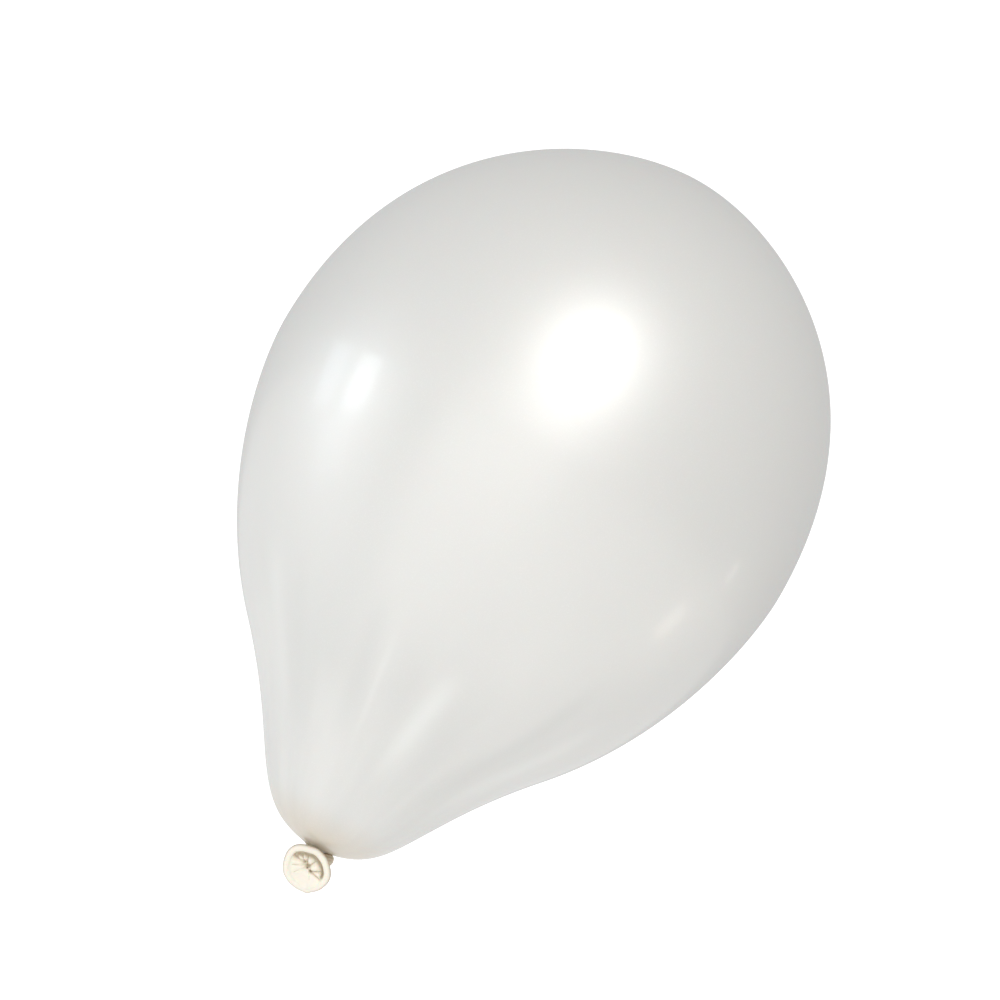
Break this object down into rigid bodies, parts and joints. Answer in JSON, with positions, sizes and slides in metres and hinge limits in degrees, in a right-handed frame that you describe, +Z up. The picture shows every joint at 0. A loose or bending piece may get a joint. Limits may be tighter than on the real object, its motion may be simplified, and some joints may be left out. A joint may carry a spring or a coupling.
{
  "type": "balloon",
  "caption": "Inflated pearl white latex party balloon, pear shaped, tied off in a knot with the rolled lip of its mouth facing forwards.",
  "frame": {"origin": "the tie point on the balloon's long axis, in the throat between the envelope's neck end and the knot", "axes": "+Z runs up the long axis from the knot to the crown, and -Y is the side that the mouth and its rolled lip face"},
  "size_m": [0.28, 0.28, 0.4023],
  "materials": {
    "pearl_film": "satin",
    "neck_film": "satin",
    "knot_latex": "satin",
    "mouth_latex": "satin"
  },
  "bodies": {
    "balloon": {"envelope": "pearl_film", "neck_gather": "neck_film"},
    "knot": {"knot_wrap": "knot_latex", "knot_core": "knot_latex"},
    "mouth": {"tail_membrane": "mouth_latex", "rolled_lip": "mouth_latex"}
  },
  "joints": [
    {"name": "knot_twist", "type": "hinge", "parent": "balloon", "child": "knot", "pos_m": [0, 0, 0], "axis": [0, 0, 1], "range_deg": [-60, 60], "stiffness_Nm_per_rad": 0.0002},
    {"name": "tail_bend", "type": "hinge", "parent": "knot", "child": "mouth", "pos_m": [0.0021, -0.0076, -0.0082], "axis": [1, 0, 0], "range_deg": [0, 65], "stiffness_Nm_per_rad": 0.00012}
  ]
}
